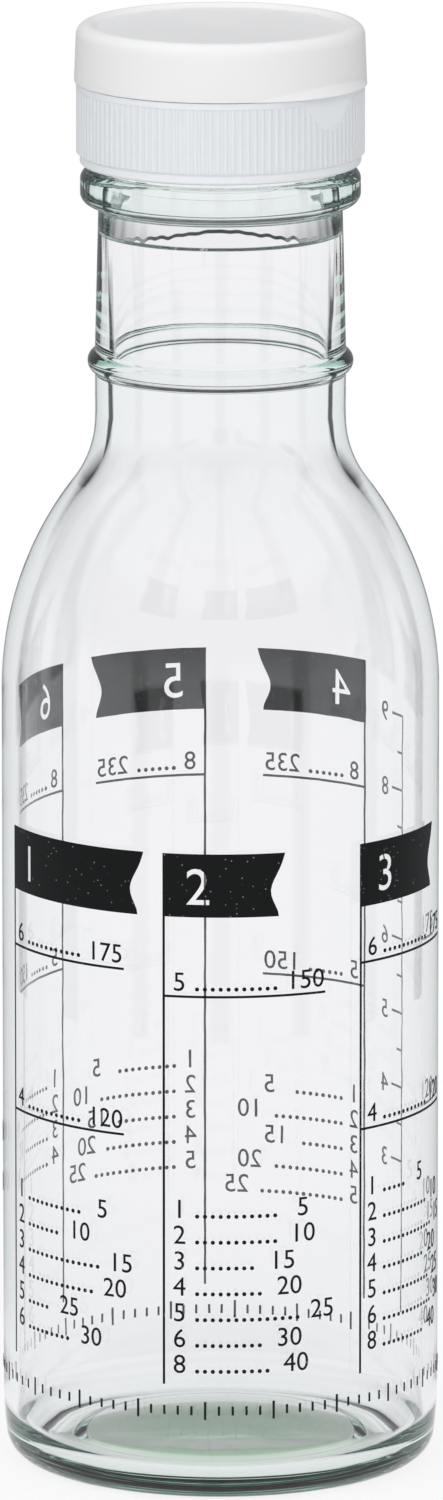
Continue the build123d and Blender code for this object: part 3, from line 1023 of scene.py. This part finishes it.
flat_rise = scoop_height / scoop_depth
rib_values = {
    "Ribs": rib_count,
    "Tube Radius": rib_tube_radius * MM,
    "Axis Radius": rib_axis * MM,
    "End Share": (rib_root - rib_axis) / rib_tube_radius,
    "Foot": (skirt_bottom + foot_height + rib_foot_sunk) * MM,
    "Top": (deck_top - rib_top_margin + rib_top_sunk) * MM,
    "Flat Height": (deck_top - scoop_height + skirt_radius * flat_rise) * MM,
    "Flat Slope": flat_rise * skirt_radius / rib_axis,
    "Material": closure_plastic,
}
ribs = grown("grip_ribs", rib_tree(), rib_values, 50)
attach(ribs, "closure")


def tick_tree():
    """Upright enamel ticks round the glass; every fifth one is longer."""
    sizes = ("Ring Radius", "Middle", "Width", "Thickness", "Short", "Long")
    tree, given = group_tree("ring_of_ticks", "Ticks", sizes)
    circle = {"Vertices": given["Ticks"], "Radius": given["Ring Radius"]}
    ring = node(tree, "GeometryNodeMeshCircle", circle).outputs["Mesh"]
    index = node(tree, "GeometryNodeInputIndex").outputs[0]
    in_five = node(tree, "ShaderNodeMath", {0: index, 1: 5.0}, operation="MODULO").outputs[0]
    short = node(tree, "ShaderNodeMath", {0: in_five, 1: 0.5}, operation="GREATER_THAN").outputs[0]
    heights = {0: short, 2: given["Long"], 3: given["Short"]}
    height = node(tree, "ShaderNodeMix", heights).outputs[0]
    middle = node(tree, "ShaderNodeCombineXYZ", {"Z": given["Middle"]}).outputs[0]
    raised = node(tree, "GeometryNodeTransform", {"Geometry": ring, "Translation": middle})
    outward = {"Vector": node(tree, "GeometryNodeInputPosition").outputs[0]}
    facing = node(tree, "FunctionNodeAlignEulerToVector", outward, axis="X", pivot_axis="Z")
    size = node(tree, "ShaderNodeCombineXYZ", {"X": given["Thickness"], "Y": given["Width"], "Z": 1.0})
    tick = node(tree, "GeometryNodeMeshCube", {"Size": size.outputs[0]}).outputs["Mesh"]
    stretch = node(tree, "ShaderNodeCombineXYZ", {"X": 1.0, "Y": 1.0, "Z": height}).outputs[0]
    standing = {"Points": raised.outputs[0], "Rotation": facing.outputs[0], "Scale": stretch}
    ticks = node(tree, "GeometryNodeInstanceOnPoints", {"Instance": tick, **standing})
    finish_tree(tree, ticks.outputs[0], given["Material"])
    return tree


tick_values = {
    "Ticks": 100,
    "Ring Radius": (body_radius + INK_LIFT + INK_THICKNESS / 2) * MM,
    "Middle": 13.4 * MM,
    "Width": RULE_WIDTH * MM,
    "Thickness": INK_THICKNESS * MM,
    "Short": 1.3 * MM,
    "Long": 2.6 * MM,
    "Material": enamel,
}
ticks = grown("enamel_ticks", tick_tree(), tick_values, 30)
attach(ticks, "bottle")

# Floor, world, lights and camera
STUDIO_WHITE = linear("FFF9FE")
STUDIO_DARK = linear("34363A")
OVERHEAD = linear("E2E4E6")
ROOM_GREY = linear("9A9C9E")
# Painted shade: the green-grey the floor glows under the bottle, for light that came through the base
PAINTED_GREEN_SHADE = linear("ACCCAC")
CARD_DARK = linear("2A2C2E")
PURE_WHITE = (1, 1, 1, 1)
SKY_LIGHT = (0.55, 0.55, 0.55, 1)

# Fades of the floor: two distances from its middle in millimetres, and the values there
RUN_OUT = (30, 240, 0.85, 1.0)
FAR_OUT = (32, 140, 0.0, 1.0)
# The last fade spreads the painted green shade under the bottle
PAINTED_SHADE_FADE = (8, 30, 1.0, 0.0)


def pale_floor():
    """Plain pale floor that runs out to white and keeps the shadow of the bottle.

    Under the bottle a green-grey shade is painted into its glow, for light that came through the green
    base; glass and gloss see it too.
    Further out gloss sees it fade to the grey of the room, so its edge doesn't show in the glass.
    """
    material, tree = new_material("pale_floor")
    place = node(tree, "ShaderNodeTexCoord").outputs["Object"]
    reach = node(tree, "ShaderNodeVectorMath", {0: place}, operation="LENGTH").outputs["Value"]
    fades = []
    for near, far, first, last in (RUN_OUT, FAR_OUT, PAINTED_SHADE_FADE):
        ends = {"From Min": near * MM, "From Max": far * MM, "To Min": first, "To Max": last}
        fade = node(tree, "ShaderNodeMapRange", {"Value": reach, **ends}, interpolation_type="SMOOTHSTEP")
        fades.append(fade.outputs["Result"])
    run_out, far_out, painted_shade_share = fades
    path = node(tree, "ShaderNodeLightPath").outputs
    seen = path["Is Camera Ray"]
    for ray in ("Is Glossy Ray", "Is Transmission Ray"):
        seen = node(tree, "ShaderNodeMath", {0: seen, 1: path[ray]}, operation="MAXIMUM").outputs[0]
    share = node(tree, "ShaderNodeMath", {0: seen, 1: run_out}, operation="MULTIPLY").outputs[0]
    colour = STUDIO_WHITE
    for where, other in (
        (far_out, ROOM_GREY),
        (path["Is Transmission Ray"], STUDIO_WHITE),
        (path["Is Camera Ray"], PURE_WHITE),
        # painted green shade under the bottle
        (painted_shade_share, PAINTED_GREEN_SHADE),
    ):
        colour = node(tree, "ShaderNodeMix", {0: where, 6: colour, 7: other}, data_type="RGBA").outputs[2]
    paper = node(tree, "ShaderNodeBsdfDiffuse", {"Color": linear("F4F4F4")})
    white = node(tree, "ShaderNodeEmission", {"Color": colour})
    layers = {0: share, 1: paper.outputs["BSDF"], 2: white.outputs["Emission"]}
    mixed = node(tree, "ShaderNodeMixShader", layers)
    node(tree, "ShaderNodeOutputMaterial", {"Surface": mixed.outputs["Shader"]})
    return material


FLOOR_RADIUS_MM = 320.0
FLOOR_TOP_MM = -0.02
FLOOR_FOOT_MM = -2.0
FLOOR_ROUND = 128
floor_section = bar(0, FLOOR_FOOT_MM, FLOOR_RADIUS_MM, FLOOR_TOP_MM)
ground = turned("floor", floor_section, even(FLOOR_ROUND), pale_floor(), crease=30)

# What glass sees round it: white low down, a dark band at shoulder height and a pale ceiling
world = bpy.data.worlds.new("studio")
bpy.context.scene.world = world
world.use_nodes = True
sky = world.node_tree
sky.nodes.clear()
direction = node(sky, "ShaderNodeTexCoord").outputs["Generated"]
toward = node(sky, "ShaderNodeSeparateXYZ", {"Vector": direction}).outputs
ceiling = node(sky, "ShaderNodeValToRGB", {"Fac": toward["Z"]})
stops = ceiling.color_ramp.elements
bands = ((0.06, STUDIO_WHITE), (0.24, STUDIO_DARK), (0.42, STUDIO_DARK), (0.56, OVERHEAD))
while len(stops) < len(bands):
    stops.new(0.5)
for stop, (height, colour) in zip(stops, bands):
    stop.position = height
    stop.color = colour
path = node(sky, "ShaderNodeLightPath").outputs

# Narrow dark cards stand all round. Only light that has bounced once inside one wall meets them,
# so they draw the inner wall and the outline without darkening what is seen straight through.
CARD_COUNT = 8
CARD_EDGE = {"From Min": 0.62, "From Max": 0.92}
card_start = -CARD_COUNT * radians(90 + CAMERA_AZIMUTH)
bearing = node(sky, "ShaderNodeMath", {0: toward["Y"], 1: toward["X"]}, operation="ARCTAN2").outputs[0]
phase = node(sky, "ShaderNodeMath", {0: bearing, 1: CARD_COUNT, 2: card_start}, operation="MULTIPLY_ADD")
swing = node(sky, "ShaderNodeMath", {0: phase.outputs[0]}, operation="COSINE").outputs[0]
card = node(sky, "ShaderNodeMapRange", {"Value": swing, **CARD_EDGE}, interpolation_type="SMOOTHSTEP")
once = node(sky, "ShaderNodeMath", {0: path["Glossy Depth"], 1: 1.0, 2: 0.5}, operation="COMPARE")
one_wall = node(sky, "ShaderNodeMath", {0: path["Transmission Depth"], 1: 2.5}, operation="LESS_THAN")
carded = card.outputs["Result"]
for where in (once, one_wall):
    carded = node(sky, "ShaderNodeMath", {0: carded, 1: where.outputs[0]}, operation="MULTIPLY").outputs[0]
cards = {0: carded, 6: ceiling.outputs["Color"], 7: CARD_DARK}
around_glass = node(sky, "ShaderNodeMix", cards, data_type="RGBA").outputs[2]
colour = SKY_LIGHT
for where, other in (
    (path["Is Glossy Ray"], ROOM_GREY),
    (path["Is Transmission Ray"], around_glass),
    (path["Is Camera Ray"], PURE_WHITE),
):
    colour = node(sky, "ShaderNodeMix", {0: where, 6: colour, 7: other}, data_type="RGBA").outputs[2]
background = node(sky, "ShaderNodeBackground", {"Color": colour})
node(sky, "ShaderNodeOutputWorld", {"Surface": background.outputs["Background"]})


def away_from(azimuth, elevation):
    """Unit vector toward a light or camera, from degrees; azimuth 0 is on the -Y side."""
    around, up = radians(azimuth), radians(elevation)
    return Vector((sin(around) * cos(up), -cos(around) * cos(up), sin(up)))


def softbox(name, azimuth, elevation, distance, size, power):
    """Square area light that faces the bottle and isn't seen in its gloss or through its glass."""
    light = bpy.data.lights.new(name, "AREA")
    light.size = size
    light.energy = power
    made = linked(name, light)
    away = away_from(azimuth, elevation)
    made.location = away * distance + Vector((0, 0, AIM_HEIGHT_MM * MM))
    made.rotation_euler = away.to_track_quat("Z", "Y").to_euler()
    made.visible_glossy = False
    made.visible_transmission = False


softbox("softbox_left", -95, 38, 1.4, 1.1, 5.0)
softbox("softbox_front", -35, 25, 1.4, 1.0, 6.0)
softbox("softbox_top", 130, 75, 1.3, 1.1, 3.0)

camera = bpy.data.cameras.new("camera")
camera.sensor_width = SENSOR_MM
camera.lens = FOCAL_PIXELS * SENSOR_MM / PHOTO_HEIGHT
camera.clip_end = 20.0
viewer = linked("camera", camera)
back = away_from(CAMERA_AZIMUTH, CAMERA_ELEVATION)
right = away_from(CAMERA_AZIMUTH + 90, 0)
pixel_mm = CAMERA_MM / FOCAL_PIXELS
aim = Vector((0, 0, AIM_HEIGHT_MM)) + right * (PHOTO_WIDTH / 2 - PHOTO_AXIS_X) * pixel_mm
viewer.location = (aim + back * CAMERA_MM) * MM
viewer.rotation_euler = back.to_track_quat("Z", "Y").to_euler()
bpy.context.scene.camera = viewer
bpy.context.scene.view_settings.view_transform = "Standard"

# Light is turned back many times in the thick glass of the base and the beads before it comes out
bpy.context.scene.cycles.glossy_bounces = 12
